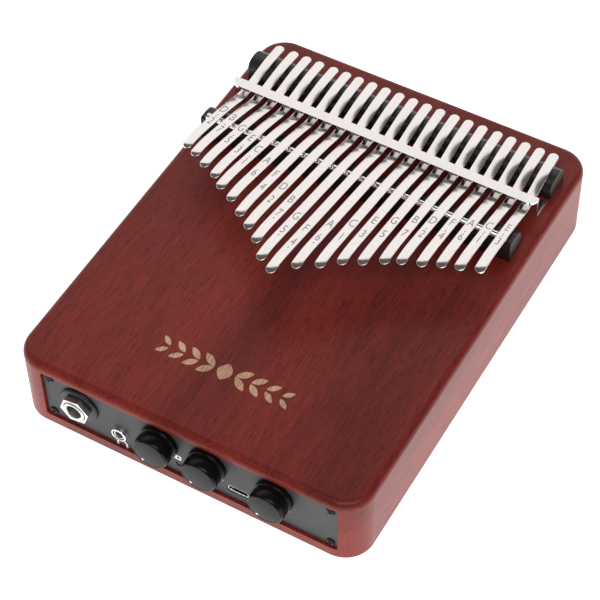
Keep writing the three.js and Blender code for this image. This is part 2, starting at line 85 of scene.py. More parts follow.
class Nodes:
    """A short way to write a procedural material: one Principled shader and the nodes that feed it."""

    def __init__(self, name, roughness=0.5, metallic=0.0, **sockets):
        self.material = bpy.data.materials.new(name)
        self.material.use_nodes = True
        self.tree = self.material.node_tree
        self.shader = self.tree.nodes["Principled BSDF"]
        self.shader.inputs["Roughness"].default_value = roughness
        self.shader.inputs["Metallic"].default_value = metallic
        for socket, value in sockets.items():
            self.shader.inputs[socket.replace("_", " ")].default_value = value
        self.coords = self.tree.nodes.new("ShaderNodeTexCoord").outputs["Object"]

    def link(self, output, socket):
        self.tree.links.new(output, socket)

    def to_shader(self, output, socket):
        self.link(output, self.shader.inputs[socket])

    def stretched(self, scale):
        mapping = self.tree.nodes.new("ShaderNodeMapping")
        mapping.inputs["Scale"].default_value = scale
        self.link(self.coords, mapping.inputs["Vector"])
        return mapping.outputs["Vector"]

    def noise(self, scale, detail=3.0, roughness=0.5, distortion=0.0):
        node = self.tree.nodes.new("ShaderNodeTexNoise")
        node.inputs["Scale"].default_value = 1.0
        node.inputs["Detail"].default_value = detail
        node.inputs["Roughness"].default_value = roughness
        node.inputs["Distortion"].default_value = distortion
        self.link(self.stretched(scale), node.inputs["Vector"])
        return node.outputs["Fac"]

    def ramp(self, factor, stops):
        node = self.tree.nodes.new("ShaderNodeValToRGB")
        elements = node.color_ramp.elements
        while len(elements) < len(stops):
            elements.new(0.5)
        for element, (place, colour) in zip(elements, stops):
            element.position = place
            element.color = (*colour, 1.0)
        self.link(factor, node.inputs["Fac"])
        return node.outputs["Color"]

    def mix(self, factor, first, second, blend="MIX"):
        node = self.tree.nodes.new("ShaderNodeMix")
        node.data_type = "RGBA"
        node.blend_type = blend
        if isinstance(factor, float):
            node.inputs["Factor"].default_value = factor
        else:
            self.link(factor, node.inputs["Factor"])
        self.link(first, node.inputs["A"])
        self.link(second, node.inputs["B"])
        return node.outputs["Result"]

    def spread(self, factor, lowest, highest):
        node = self.tree.nodes.new("ShaderNodeMapRange")
        node.inputs["To Min"].default_value = lowest
        node.inputs["To Max"].default_value = highest
        self.link(factor, node.inputs["Value"])
        return node.outputs["Result"]

    def bump(self, factor, distance, strength=1.0):
        node = self.tree.nodes.new("ShaderNodeBump")
        node.inputs["Strength"].default_value = strength
        node.inputs["Distance"].default_value = distance
        self.link(factor, node.inputs["Height"])
        self.to_shader(node.outputs["Normal"], "Normal")


def grained_wood(name, dark, middle, light, roughness, coat, pore_depth, along=1, gloss=0.5):
    """Wood with broad figure, fine straight grain and short open pores, all drawn out along one axis."""
    wood = Nodes(name, roughness=roughness, Coat_Weight=coat, Coat_Roughness=0.22, Specular_IOR_Level=gloss)

    def drawn(across, length):
        scale = [across] * 3
        scale[along] = length
        return scale

    figure = wood.noise(drawn(42, 4), detail=3.0, distortion=0.5)
    grain = wood.noise(drawn(1500, 75), detail=4.0, roughness=0.6)
    pores = wood.noise(drawn(2700, 210), detail=1.0)
    broad = wood.ramp(figure, [(0.3, dark), (0.5, middle), (0.72, light)])
    fine = wood.ramp(grain, [(0.32, (0.66,) * 3), (0.5, (0.97,) * 3), (0.7, (1.20,) * 3)])
    pits = wood.ramp(pores, [(0.31, (0.50,) * 3), (0.42, (1.0,) * 3)])
    colour = wood.mix(1.0, broad, fine, "MULTIPLY")
    colour = wood.mix(1.0, colour, pits, "MULTIPLY")
    wood.to_shader(colour, "Base Color")
    wood.to_shader(wood.spread(grain, roughness + 0.06, roughness - 0.06), "Roughness")
    wood.bump(pores, pore_depth, 0.35)
    return wood.material


def brushed_metal(name, colour, roughness, along=1, streak=0.10, mottle=0.03):
    """Metal with fine lines drawn along one axis, and a faint cloudiness in its gloss."""
    metal = Nodes(name, roughness=roughness, metallic=1.0)
    scale = [2400.0] * 3
    scale[along] = 30.0
    lines = metal.noise(scale, detail=3.0, roughness=0.6)
    clouds = metal.noise([260.0] * 3, detail=3.0)
    specks = metal.noise([1900.0] * 3, detail=1.0)
    shade = [(0.36, tuple(c * 0.93 for c in colour)), (0.6, colour)]
    dust = metal.ramp(specks, [(0.24, (0.88,) * 3), (0.31, (1.0,) * 3)])
    metal.to_shader(metal.mix(1.0, metal.ramp(lines, shade), dust, "MULTIPLY"), "Base Color")
    both = metal.mix(0.5, metal.ramp(lines, [(0.3, (0.0,) * 3), (0.7, (1.0,) * 3)]),
                     metal.ramp(clouds, [(0.3, (0.0,) * 3), (0.7, (1.0,) * 3)]))
    metal.to_shader(metal.spread(both, roughness - mottle, roughness + streak), "Roughness")
    metal.bump(lines, 0.004 * MM, 0.6)
    return metal.material


def polished_metal(name, colour, roughness):
    """Plated metal: almost a mirror, with slight waviness and fingerprints in the gloss."""
    metal = Nodes(name, roughness=roughness, metallic=1.0)
    waves = metal.noise([90.0] * 3, detail=2.0)
    prints = metal.noise([700.0] * 3, detail=3.0)
    dulled = tuple(c * 0.94 for c in colour)
    metal.to_shader(metal.ramp(prints, [(0.3, dulled), (0.6, colour)]), "Base Color")
    metal.to_shader(metal.spread(prints, roughness, roughness + 0.07), "Roughness")
    metal.bump(waves, 0.02 * MM, 0.3)
    return metal.material


def moulded_plastic(name, colour, roughness, grain=2200.0, depth=0.01, variation=0.12, **sockets):
    """Plastic or paint with a fine mould texture and uneven gloss."""
    plastic = Nodes(name, roughness=roughness, **sockets)
    texture = plastic.noise([grain] * 3, detail=2.0)
    wear = plastic.noise([160.0] * 3, detail=4.0)
    less = tuple(c * (1 - variation) for c in colour)
    more = tuple(c * (1 + variation) for c in colour)
    plastic.to_shader(plastic.ramp(texture, [(0.35, less), (0.65, more)]), "Base Color")
    plastic.to_shader(plastic.spread(wear, roughness - 0.07, roughness + 0.09), "Roughness")
    plastic.bump(texture, depth * MM, 0.5)
    return plastic.material


MAHOGANY = grained_wood(
    "mahogany", (0.195, 0.0200, 0.0145), (0.285, 0.0290, 0.0205), (0.370, 0.0400, 0.0265), 0.36, 0.0,
    0.008 * MM, gloss=0.27,
)
BLACK_WOOD = grained_wood(
    "black_wood", (0.010, 0.009, 0.010), (0.016, 0.014, 0.015), (0.024, 0.021, 0.022), 0.42, 0.15,
    0.02 * MM, along=0,
)
MAPLE = grained_wood(
    "maple_inlay", (0.68, 0.38, 0.22), (0.85, 0.52, 0.32), (0.95, 0.64, 0.42), 0.45, 0.0, 0.004 * MM,
)
TINE_STEEL = brushed_metal("tine_steel", (0.91, 0.88, 0.86), 0.12, streak=0.05)
CHROME = polished_metal("chrome", (0.90, 0.90, 0.90), 0.06)
BRACKET_STEEL = polished_metal("bracket_steel", (0.86, 0.85, 0.845), 0.12)
ROD_STEEL = polished_metal("rod_steel", (0.90, 0.89, 0.87), 0.09)
SCREW_STEEL = brushed_metal("screw_steel", (0.74, 0.72, 0.68), 0.26)
SHAFT_STEEL = brushed_metal("shaft_steel", (0.66, 0.66, 0.65), 0.30)
BUSH_STEEL = brushed_metal("bush_steel", (0.80, 0.80, 0.79), 0.34)
POT_STEEL = brushed_metal("pot_steel", (0.52, 0.52, 0.50), 0.34)
PANEL_GREY = moulded_plastic(
    "panel_grey", (0.075, 0.075, 0.079), 0.52, depth=0.006, Specular_IOR_Level=0.4,
)
BLACK_SCREW = moulded_plastic("black_screw", (0.020, 0.020, 0.021), 0.26, Metallic=0.7)
BLACK_PLASTIC = moulded_plastic("black_plastic", (0.012, 0.012, 0.013), 0.34)
KNOB_PLASTIC = moulded_plastic("knob_plastic", (0.006, 0.006, 0.0065), 0.24, Specular_IOR_Level=0.20)
ENGRAVING = moulded_plastic("engraving", (0.34, 0.33, 0.325), 0.75, Specular_IOR_Level=0.15)
# White print with a painted glow: its emission makes the printing brighter than the lamps alone would light
# it.
PRINT_WHITE_PAINTED_GLOW = moulded_plastic(
    "print_white_painted_glow", (0.86, 0.86, 0.84), 0.55, Emission_Color=(1.0, 1.0, 0.98, 1.0), Emission_Strength=0.25,
)
BOARD_GREEN = moulded_plastic("circuit_board", (0.02, 0.12, 0.05), 0.35, grain=900.0)
BATTERY_BLUE = moulded_plastic("battery", (0.05, 0.12, 0.35), 0.25)
FOAM = moulded_plastic("foam", (0.03, 0.03, 0.03), 0.90, grain=1500.0, depth=0.15)
BRASS = brushed_metal("pickup_brass", (0.70, 0.52, 0.22), 0.28)
WIRE_JACKET = moulded_plastic("wire_jacket", (0.02, 0.02, 0.02), 0.45)
LAMP = moulded_plastic("lamp", (0.30, 0.03, 0.03), 0.12, Transmission_Weight=0.35)
FLOOR = moulded_plastic(
    "floor", (0.93, 0.93, 0.93), 0.62, grain=30.0, variation=0.004,
    Emission_Color=(1.0, 1.0, 1.0, 1.0), Emission_Strength=1.0,
)


# ---- Mesh helpers --------------------------------------------------------------------------------


def shade(mesh, sharp_degrees=38):
    mesh.shade_smooth()
    mesh.set_sharp_from_angle(angle=math.radians(sharp_degrees))


def add_piece(name, vertices, faces, material, body, node=None):
    """Makes a mesh piece that rides on a body, and stands for a CAD node if one is named."""
    mesh = bpy.data.meshes.new(name)
    mesh.from_pydata([tuple(v) for v in vertices], [], faces)
    mesh.validate()
    mesh.materials.append(material)
    outward(mesh)
    shade(mesh)
    piece = bpy.data.objects.new(name, mesh)
    bpy.context.collection.objects.link(piece)
    if body:
        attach(piece, body)
    if node:
        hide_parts(node)
    return piece


def outward(mesh):
    work = bmesh.new()
    work.from_mesh(mesh)
    bmesh.ops.recalc_face_normals(work, faces=work.faces)
    work.to_mesh(mesh)
    work.free()


def bevel(piece, width, segments=2, degrees=35):
    """Rounds the piece's sharp edges, so that they catch the light."""
    modifier = piece.modifiers.new("edges", "BEVEL")
    modifier.width = width
    modifier.segments = segments
    modifier.limit_method = "ANGLE"
    modifier.angle_limit = math.radians(degrees)
    modifier.use_clamp_overlap = True
    normals = piece.modifiers.new("normals", "WEIGHTED_NORMAL")
    normals.keep_sharp = True
    return piece


def refined(node, material, body, width, segments=2):
    """A CAD node's shape with its flat faces joined up and its edges rounded."""
    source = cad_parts[node].data
    work = bmesh.new()
    for vertex in source.vertices:
        work.verts.new(vertex.co)
    work.verts.ensure_lookup_table()
    for polygon in source.polygons:
        corners = [work.verts[i] for i in polygon.vertices]
        if len(set(corners)) == len(corners) and not work.faces.get(corners):
            work.faces.new(corners)
    bmesh.ops.remove_doubles(work, verts=work.verts, dist=0.002 * MM)
    bmesh.ops.dissolve_limit(work, angle_limit=math.radians(0.6), verts=work.verts, edges=work.edges)
    work.verts.index_update()
    vertices = [vertex.co.copy() for vertex in work.verts]
    faces = [[vertex.index for vertex in face.verts] for face in work.faces]
    work.free()
    piece = add_piece(f"{node}_shape", vertices, faces, material, body, node)
    return bevel(piece, width, segments)


def turned(name, outline, x, z, material, body, node=None, segments=64):
    """A solid of revolution about Y. The outline is [radius, y] pairs in order round the section."""
    vertices = []
    rings = []
    for radius, y in outline:
        if radius < 1e-7:
            rings.append([len(vertices)])
            vertices.append((x, y, z))
            continue
        rings.append(list(range(len(vertices), len(vertices) + segments)))
        for step in range(segments):
            angle = 2 * math.pi * step / segments
            vertices.append((x + radius * math.cos(angle), y, z + radius * math.sin(angle)))
    closed = outline[0][0] > 1e-7
    pairs = list(zip(rings, rings[1:])) + ([(rings[-1], rings[0])] if closed else [])
    faces = []
    for first, second in pairs:
        for step in range(segments):
            after = (step + 1) % segments
            if len(first) == 1 and len(second) == 1:
                continue
            if len(first) == 1:
                faces.append([first[0], second[step], second[after]])
            elif len(second) == 1:
                faces.append([first[step], second[0], first[after]])
            else:
                faces.append([first[step], second[step], second[after], first[after]])
    return add_piece(name, vertices, faces, material, body, node)


def prism_y(outline, y0, y1):
    """Vertices and faces of a prism from y0 to y1 over a convex outline of (x, z) pairs."""
    count = len(outline)
    vertices = [(x, y0, z) for x, z in outline] + [(x, y1, z) for x, z in outline]
    faces = [list(range(count)), list(range(2 * count - 1, count - 1, -1))]
    for step in range(count):
        after = (step + 1) % count
        faces.append([step, after, after + count, step + count])
    return vertices, faces


def rounded_outline(width, height, radius, steps):
    points = []
    for corner, (sx, sy) in enumerate([(1, 1), (-1, 1), (-1, -1), (1, -1)]):
        for step in range(steps + 1):
            angle = math.pi / 2 * (corner + step / steps)
            points.append((
                sx * (width / 2 - radius) + radius * math.cos(angle),
                sy * (height / 2 - radius) + radius * math.sin(angle),
            ))
    return points


def cut(piece, cutters):
    """Takes the cutters out of the piece, and removes them."""
    for cutter in cutters:
        modifier = piece.modifiers.new("cut", "BOOLEAN")
        modifier.operation = "DIFFERENCE"
        modifier.solver = "EXACT"
        modifier.object = cutter
    bpy.context.view_layer.update()
    graph = bpy.context.evaluated_depsgraph_get()
    mesh = bpy.data.meshes.new_from_object(piece.evaluated_get(graph))
    piece.modifiers.clear()
    piece.data = mesh
    shade(mesh)
    for cutter in cutters:
        bpy.data.objects.remove(cutter)


def cutter(name, vertices, faces):
    return add_piece(name, vertices, faces, BLACK_PLASTIC, None)


def round_cutter(name, x, y, z, radius, length, axis):
    """A cylinder centred on a point, to be cut away along Y or Z."""
    angles = [math.pi * k / 12 for k in range(24)]
    outline = [(radius * math.cos(a), radius * math.sin(a)) for a in angles]
    vertices, faces = prism_y(outline, -length / 2, length / 2)
    if axis == "Z":
        vertices = [(a, -c, b) for a, b, c in vertices]
    return cutter(name, [(x + a, y + b, z + c) for a, b, c in vertices], faces)


# ---- Wooden block --------------------------------------------------------------------------------


def make_block():
    corner = 12 * MM
    top_round = 3.2 * MM
    bottom_round = 0.8 * MM
    width, length, height = BODY_HIGH - BODY_LOW
    levels = [(bottom_round * (1 - math.sin(a)), bottom_round * (1 - math.cos(a)))
              for a in [math.pi / 2 * k / 4 for k in range(5)]]
    levels += [(top_round * (1 - math.cos(a)), height - top_round + top_round * math.sin(a))
               for a in [math.pi / 2 * k / 10 for k in range(11)]]
    steps = 20
    count = 4 * (steps + 1)
    vertices = []
    for inset, z in levels:
        for x, y in rounded_outline(width - 2 * inset, length - 2 * inset, corner - inset, steps):
            vertices.append((x, y, z))
    faces = [list(range(count - 1, -1, -1)), [len(vertices) - count + k for k in range(count)]]
    for level in range(len(levels) - 1):
        for step in range(count):
            after = (step + 1) % count
            a = level * count
            faces.append([a + step, a + after, a + count + after, a + count + step])
    block = add_piece("wood_block", vertices, faces, MAHOGANY, None)

    middle = (PANEL_LOW + PANEL_HIGH) / 2
    size = PANEL_HIGH - PANEL_LOW
    rebate = rounded_outline(size.x + 2 * GAP, size.z + 2 * GAP, 1.2 * MM, 5)
    rebate = [(x + middle.x, z + middle.z) for x, z in rebate]
    cutters = [cutter("cut_rebate", *prism_y(rebate, BODY_LOW.y - 5 * MM, PANEL_BACK))]
    pocket_x = (low("circuit_board", 0) - 1 * MM, high("circuit_board", 0) + 2 * MM)
    pocket_z = (low("battery_pad", 2), high("pickup_disc", 2))
    pocket = [(pocket_x[0], pocket_z[0]), (pocket_x[1], pocket_z[0]),
              (pocket_x[1], pocket_z[1]), (pocket_x[0], pocket_z[1])]
    cutters.append(cutter("cut_pocket", *prism_y(pocket, BODY_LOW.y, high("battery", 1) + 3 * MM)))
    for number in range(1, 5):
        place = centre(f"panel_screw_{number}")
        cutters.append(round_cutter(
            f"cut_panel_{number}", place.x, place.y + 2 * MM, place.z, 1.4 * MM, 9 * MM, "Y",
        ))
    for number in range(1, 6):
        place = centre(f"bracket_screw_{number}")
        depth = TOP - low(f"bracket_screw_{number}", 2) + GAP
        middle_z = TOP - depth / 2 + 1 * MM
        cutters.append(round_cutter(
            f"cut_bracket_{number}", place.x, place.y, middle_z, 1.7 * MM, depth + 2 * MM, "Z",
        ))
    cut(block, cutters)
    normals = block.modifiers.new("normals", "WEIGHTED_NORMAL")
    normals.keep_sharp = True
    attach(block, HOUSING)
    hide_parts("body_block")


# ---- Maple inlay: a generic ornament of leaves about a centre lozenge ----------------------------


def leaf_outline(length, width, steps=10):
    points = []
    for side in (1, -1):
        for step in range(steps):
            t = step / steps
            along = -length / 2 + length * (t if side == 1 else 1 - t)
            bulge = math.sin(math.pi * (t if side == 1 else 1 - t)) ** 0.8
            points.append((along, side * width / 2 * bulge))
    return points


def make_inlay():
    middle = Vector((0.4 * MM, -67.2 * MM))
    thick = 0.15 * MM
    vertices = []
    faces = []

    def add_leaf(x, y, length, width, degrees):
        turn = Matrix.Rotation(math.radians(degrees), 2)
        outline = [turn @ Vector(p) + middle + Vector((x, y)) for p in leaf_outline(length, width)]
        first = len(vertices)
        count = len(outline)
        vertices.extend((p.x, p.y, TOP - thick) for p in outline)
        vertices.extend((p.x, p.y, TOP + 0.02 * MM) for p in outline)
        faces.append([first + k for k in range(count - 1, -1, -1)])
        faces.append([first + count + k for k in range(count)])
        for k in range(count):
            after = (k + 1) % count
            faces.append([first + k, first + after, first + count + after, first + count + k])

    add_leaf(0, 0, 8 * MM, 6 * MM, 90)
    for side in (-1, 1):
        for step in range(4):
            x = side * (7.5 + 6.3 * step) * MM
            size = (7.2 - 0.7 * step) * MM
            add_leaf(x, 2.3 * MM, size, size * 0.42, side * 38)
            add_leaf(x, -2.3 * MM, size, size * 0.42, -side * 38)
    inlay = add_piece("maple_ornament", vertices, faces, MAPLE, HOUSING)


# ---- Tines ---------------------------------------------------------------------------------------

TINE_COUNT = 21
TINE_MIDDLE = 11
TINE_HALF_WIDTH = 2.05 * MM
TINE_THICK = 0.9 * MM
TINE_PITCH = 6.39 * MM
TINE_SET_X = 1.1 * MM
FAN_DEGREES = 0.176
CROOKED = {2: -1.3, 3: -1, 4: -0.6, 5: -1.5, 6: -0.8, 13: 0.4, 17: -1, 18: -0.6, 19: -0.6, 20: -0.7}
WEB_Y = 57.0 * MM
RISE = 0.19
END_RISE = -0.12
END_LENGTH = 12 * MM
LIP_LENGTH = 3.6 * MM
ROD_Y = centre("saddle_rod").y
AT_REAR = (75 * MM, TOP + 10.8 * MM, -0.03)
AT_SLOT = (WEB_Y, 43.6 * MM, 0.0)
BEHIND_KINK = (46.6 * MM, 45.35 * MM, 0.36)
AHEAD_OF_KINK = (46.6 * MM, 45.35 * MM, 0.26)
AT_ROD = (ROD_Y, high("saddle_rod", 2) + 1.0 * MM, RISE)
NOTES = ["D6", "B5", "G5", "E5", "C5", "A4", "F4", "D4", "B3", "G3", "F3",
         "A3", "C4", "E4", "G4", "B4", "D5", "F5", "A5", "C6", "E6"]
DEGREE_OF = {"C": "1", "D": "2", "E": "3", "F": "4", "G": "5", "A": "6", "B": "7"}
MIDDLE_OCTAVE = 4
MARK_SIZE = 6.6 * MM
MARK_NARROWING = 0.62
LETTER_FROM_TIP = 28 * MM
DEGREE_FROM_TIP = 18.5 * MM
OCTAVE_DOT = 0.42 * MM


def blend_height(y, start, end):
    """A smooth step between two (y, z, rise) supports."""
    span = start[0] - end[0]
    t = (start[0] - y) / span
    return ((2 * t ** 3 - 3 * t ** 2 + 1) * start[1] + (t ** 3 - 2 * t ** 2 + t) * span * start[2]
            + (3 * t ** 2 - 2 * t ** 3) * end[1] + (t ** 3 - t ** 2) * span * end[2])


def tine_height(y, bend_y):
    """Height of a tine's upper face at y, for a tine that turns down forward of bend_y."""
    if y >= AT_REAR[0]:
        return AT_REAR[1]
    if y >= AT_SLOT[0]:
        return blend_height(y, AT_REAR, AT_SLOT)
    if y >= BEHIND_KINK[0]:
        return blend_height(y, AT_SLOT, BEHIND_KINK)
    if y >= AT_ROD[0]:
        return blend_height(y, AHEAD_OF_KINK, AT_ROD)
    past = max(0.0, bend_y - y)
    return AT_ROD[1] + RISE * (AT_ROD[0] - y) - (RISE - END_RISE) * past ** 2 / (2 * END_LENGTH)


def strip_stations(tail, tip, radius):
    """(y, half width, distance from the end's centre) along a strip with round ends, from tail to tip."""
    ends = [math.pi / 2 * k / 8 for k in range(9)]
    stations = [(tail - radius + radius * math.cos(a), math.sin(a)) for a in ends]
    steps = max(12, int((tail - tip) / (1.6 * MM)))
    first, last = tail - radius, tip + radius
    stations += [(first + (last - first) * k / steps, 1.0) for k in range(1, steps)]
    stations += [(tip + radius - radius * math.cos(a), math.sin(a)) for a in reversed(ends)]
    return stations


def strip_mesh(tail, tip, surface):
    """A flat strip with rounded edges: rings of its outline, drawn in by a little at its top and bottom."""
    radius = TINE_HALF_WIDTH
    edge = 0.22 * MM
    rings = [(edge, 0.0), (edge * 0.42, -edge * 0.13), (edge * 0.1, -edge * 0.5), (0.0, -edge),
             (0.0, edge - TINE_THICK), (edge * 0.3, edge * 0.3 - TINE_THICK), (edge, -TINE_THICK)]
    vertices = []
    sides = []
    stations = strip_stations(tail, tip, radius)
    for inset, drop in rings:
        left = []
        right = []
        for y, share in stations:
            draw = (radius - inset) / radius
            if y > tail - radius:
                y = tail - radius + (y - tail + radius) * draw
            if y < tip + radius:
                y = tip + radius + (y - tip - radius) * draw
            half = radius * share * draw
            z = surface(y) + drop
            left.append(len(vertices))
            vertices.append((-half, y, z))
            if share > 1e-6:
                right.append(len(vertices))
                vertices.append((half, y, z))
            else:
                right.append(left[-1])
        sides.append((left, right))
    faces = []

    def quad(*corners):
        kept = list(dict.fromkeys(corners))
        if len(kept) > 2:
            faces.append(kept)

    for k in range(len(stations) - 1):
        for left, right in (sides[0], sides[-1]):
            quad(left[k], right[k], right[k + 1], left[k + 1])
        for (left, right), (left_below, right_below) in zip(sides, sides[1:]):
            quad(left[k], left[k + 1], left_below[k + 1], left_below[k])
            quad(right[k], right[k + 1], right_below[k + 1], right_below[k])
    return vertices, faces


def glyph(text, size):
    """Flat triangles of a short text, centred on the origin."""
    curve = bpy.data.curves.new("glyph", "FONT")
    curve.body = text
    curve.size = size
    curve.align_x = "CENTER"
    curve.align_y = "CENTER"
    curve.offset = -0.008 * size
    curve.resolution_u = 3
    holder = bpy.data.objects.new("glyph", curve)
    bpy.context.collection.objects.link(holder)
    bpy.context.view_layer.update()
    mesh = bpy.data.meshes.new_from_object(holder)
    vertices = [vertex.co.copy() for vertex in mesh.vertices]
    faces = [list(polygon.vertices) for polygon in mesh.polygons]
    bpy.data.objects.remove(holder)
    return vertices, faces


def disc(y, radius, corners=10):
    """A flat disc on the Y axis, as vertices and one face."""
    ring = [2 * math.pi * k / corners for k in range(corners)]
    points = [Vector((radius * math.cos(a), y + radius * math.sin(a), 0)) for a in ring]
    return points, [list(range(corners))]


def tine_marks(note):
    """The note's letter and its scale degree, with dots above or below for other octaves."""
    letter, octave = note[0], int(note[1])
    parts = [
        (glyph(letter, MARK_SIZE), LETTER_FROM_TIP),
        (glyph(DEGREE_OF[letter], MARK_SIZE), DEGREE_FROM_TIP),
    ]
    away = octave - MIDDLE_OCTAVE
    for k in range(abs(away)):
        offset = (3.7 + 1.4 * k) * MM * (1 if away > 0 else -1)
        parts.append((disc(offset, OCTAVE_DOT), DEGREE_FROM_TIP))
    return parts


def make_tine(number):
    node = f"tine_{number:02d}"
    x = TINE_SET_X + (number - TINE_MIDDLE) * TINE_PITCH
    yaw = math.radians((number - TINE_MIDDLE) * FAN_DEGREES + CROOKED.get(number, 0))
    turn = Matrix.Rotation(yaw, 4, "Z")
    place = Matrix.Translation((x, WEB_Y, 0)) @ turn
    slant = math.cos(yaw)
    tail = (high(node, 1) - WEB_Y) / slant
    tip = (low(node, 1) - WEB_Y) / slant
    bend_y = tip + WEB_Y + END_LENGTH

    def surface(y):
        lip = max(0.0, tip + LIP_LENGTH - y)
        return tine_height(y + WEB_Y, bend_y) - 0.10 * lip ** 2 / LIP_LENGTH

    vertices, faces = strip_mesh(tail, tip, surface)
    strip_faces = len(faces)
    for (points, polygons), from_tip in tine_marks(NOTES[number - 1]):
        first = len(vertices)
        for point in points:
            y = tip + from_tip + point.y
            vertices.append((point.x * MARK_NARROWING, y, surface(y) + 0.012 * MM))
        faces.extend([first + k for k in polygon] for polygon in polygons)
    mesh = bpy.data.meshes.new(f"{node}_strip")
    mesh.from_pydata([tuple(place @ Vector(v)) for v in vertices], [], faces)
    mesh.materials.append(TINE_STEEL)
    mesh.materials.append(ENGRAVING)
    for polygon in list(mesh.polygons)[strip_faces:]:
        polygon.material_index = 1
    work = bmesh.new()
    work.from_mesh(mesh)
    work.faces.ensure_lookup_table()
    bmesh.ops.recalc_face_normals(work, faces=work.faces[:strip_faces])
    work.to_mesh(mesh)
    work.free()
    shade(mesh, 50)
    strip = bpy.data.objects.new(f"{node}_strip", mesh)
    bpy.context.collection.objects.link(strip)
    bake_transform(strip)
    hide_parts(node)


# ---- Bridges, rod, bracket and its screws --------------------------------------------------------


def make_rod():
    place = centre("saddle_rod")
    radius = (high("saddle_rod", 2) - low("saddle_rod", 2)) / 2
    x0, x1 = low("saddle_rod", 0), high("saddle_rod", 0)
    edge = 0.3 * MM
    outline = [(0, x0), (radius - edge, x0), (radius - edge * 0.3, x0 + edge * 0.3), (radius, x0 + edge),
               (radius, x1 - edge), (radius - edge * 0.3, x1 - edge * 0.3), (radius - edge, x1), (0, x1)]
    rod = turned("saddle_rod_shape", outline, 0, 0, ROD_STEEL, None, segments=32)
    across = Matrix.Rotation(math.radians(-90), 4, "Z")
    rod.data.transform(Matrix.Translation((0, place.y, place.z)) @ across)
    outward(rod.data)
    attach(rod, HOUSING)
    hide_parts("saddle_rod")


def cross_head(name, head, shank, drop, material, node):
    """A pan-head screw along -Y of its own frame, with a cross recess; drop places it."""
    radius, height = head
    shank_radius, shank_end = shank
    outline = [(0, -height)]
    outline += [(radius * math.sin(a), -height * (0.35 + 0.65 * math.cos(a)))
                for a in [math.pi / 2 * k / 8 for k in range(1, 9)]]
    outline += [(radius, 0), (shank_radius, 0), (shank_radius, shank_end - shank_radius), (0, shank_end)]
    screw = turned(name, outline, 0, 0, material, None, segments=32)
    cutters = []
    for degrees in (0, 90):
        slotted = [(-0.62 * radius, -0.13 * radius), (0.62 * radius, -0.13 * radius),
                   (0.62 * radius, 0.13 * radius), (-0.62 * radius, 0.13 * radius)]
        turn = Matrix.Rotation(math.radians(degrees + 20), 2)
        slotted = [tuple(turn @ Vector(p)) for p in slotted]
        cutters.append(cutter("cut_slot", *prism_y(slotted, -height * 1.5, -height * 0.25)))
    cut(screw, cutters)
    screw.data.transform(drop)
    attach(screw, HOUSING)
    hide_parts(node)


def make_screws():
    for number in range(1, 5):
        node = f"panel_screw_{number}"
        place = centre(node)
        move = Matrix.Translation((place.x, PANEL_FRONT, place.z))
        shank = (1.1 * MM, high(node, 1) - PANEL_FRONT)
        cross_head(f"{node}_shape", (1.8 * MM, 0.95 * MM), shank, move, BLACK_SCREW, node)
    for number in range(1, 6):
        node = f"bracket_screw_{number}"
        place = centre(node)
        seat = TOP + 1.2 * MM
        move = Matrix.Translation((place.x, place.y, seat)) @ Matrix.Rotation(math.radians(-90), 4, "X")
        shank = (1.4 * MM, seat - low(node, 2))
        cross_head(f"{node}_shape", (2.3 * MM, 1.8 * MM), shank, move, SCREW_STEEL, node)


def make_bars():
    refined("rear_bridge", BLACK_WOOD, HOUSING, 0.5 * MM, 3)
    refined("front_bridge", BLACK_WOOD, HOUSING, 0.4 * MM, 3)
    refined("z_bracket", BRACKET_STEEL, HOUSING, 0.16 * MM, 2)
    make_rod()


# ---- Control panel -------------------------------------------------------------------------------


def flat_print(name, polygons, y):
    """White printing on the panel, with a painted glow: thin flat polygons of (x, z) points."""
    vertices = []
    faces = []
    for outline in polygons:
        for depth in (y, y + 0.03 * MM):
            vertices.extend((x, depth, z) for x, z in outline)
        first = len(vertices) - 2 * len(outline)
        count = len(outline)
        faces.append([first + k for k in range(count)])
        faces.append([first + 2 * count - 1 - k for k in range(count)])
        for k in range(count):
            after = (k + 1) % count
            faces.append([first + k, first + after, first + count + after, first + count + k])
    piece = add_piece(name, vertices, faces, PRINT_WHITE_PAINTED_GLOW, HOUSING)


def arc_band(x, z, inner, outer, start, end, steps=14):
    """Quads of a flat arc between two angles in degrees."""
    quads = []
    for step in range(steps):
        a = math.radians(start + (end - start) * step / steps)
        b = math.radians(start + (end - start) * (step + 1) / steps)
        quads.append([
            (x + inner * math.cos(a), z + inner * math.sin(a)),
            (x + outer * math.cos(a), z + outer * math.sin(a)),
            (x + outer * math.cos(b), z + outer * math.sin(b)),
            (x + inner * math.cos(b), z + inner * math.sin(b)),
        ])
    return quads


def box_mark(x, z, width, height):
    return [(x - width / 2, z - height / 2), (x + width / 2, z - height / 2),
            (x + width / 2, z + height / 2), (x - width / 2, z + height / 2)]


def make_prints():
    y = PANEL_FRONT - 0.025 * MM
    phones = centre("headphone_ring")
    lamp = centre("status_led")
    band_z = phones.z - 7.2 * MM
    marks = arc_band(phones.x, band_z, 1.75 * MM, 2.35 * MM, 0, 180)
    for side in (-1, 1):
        marks.append(box_mark(phones.x + side * 2.05 * MM, band_z - 0.7 * MM, 0.9 * MM, 1.6 * MM))
    frame_z = lamp.z + 4.2 * MM
    frame_size = 1.9 * MM
    line = 0.65 * MM
    for side in (-1, 1):
        marks.append(box_mark(lamp.x + side * frame_size / 2, frame_z, line, frame_size + line))
        marks.append(box_mark(lamp.x, frame_z + side * frame_size / 2, frame_size, line))
    reach = 9.3 * MM
    stop_dot = 0.5 * MM
    for number in range(1, 4):
        knob = centre(f"knob_{number}")
        for degrees in (-128, -52):
            angle = math.radians(degrees)
            x = knob.x + reach * math.cos(angle)
            z = knob.z + reach * math.sin(angle)
            marks.append(box_mark(x, z, stop_dot, stop_dot))
    flat_print("panel_printing", marks, y)


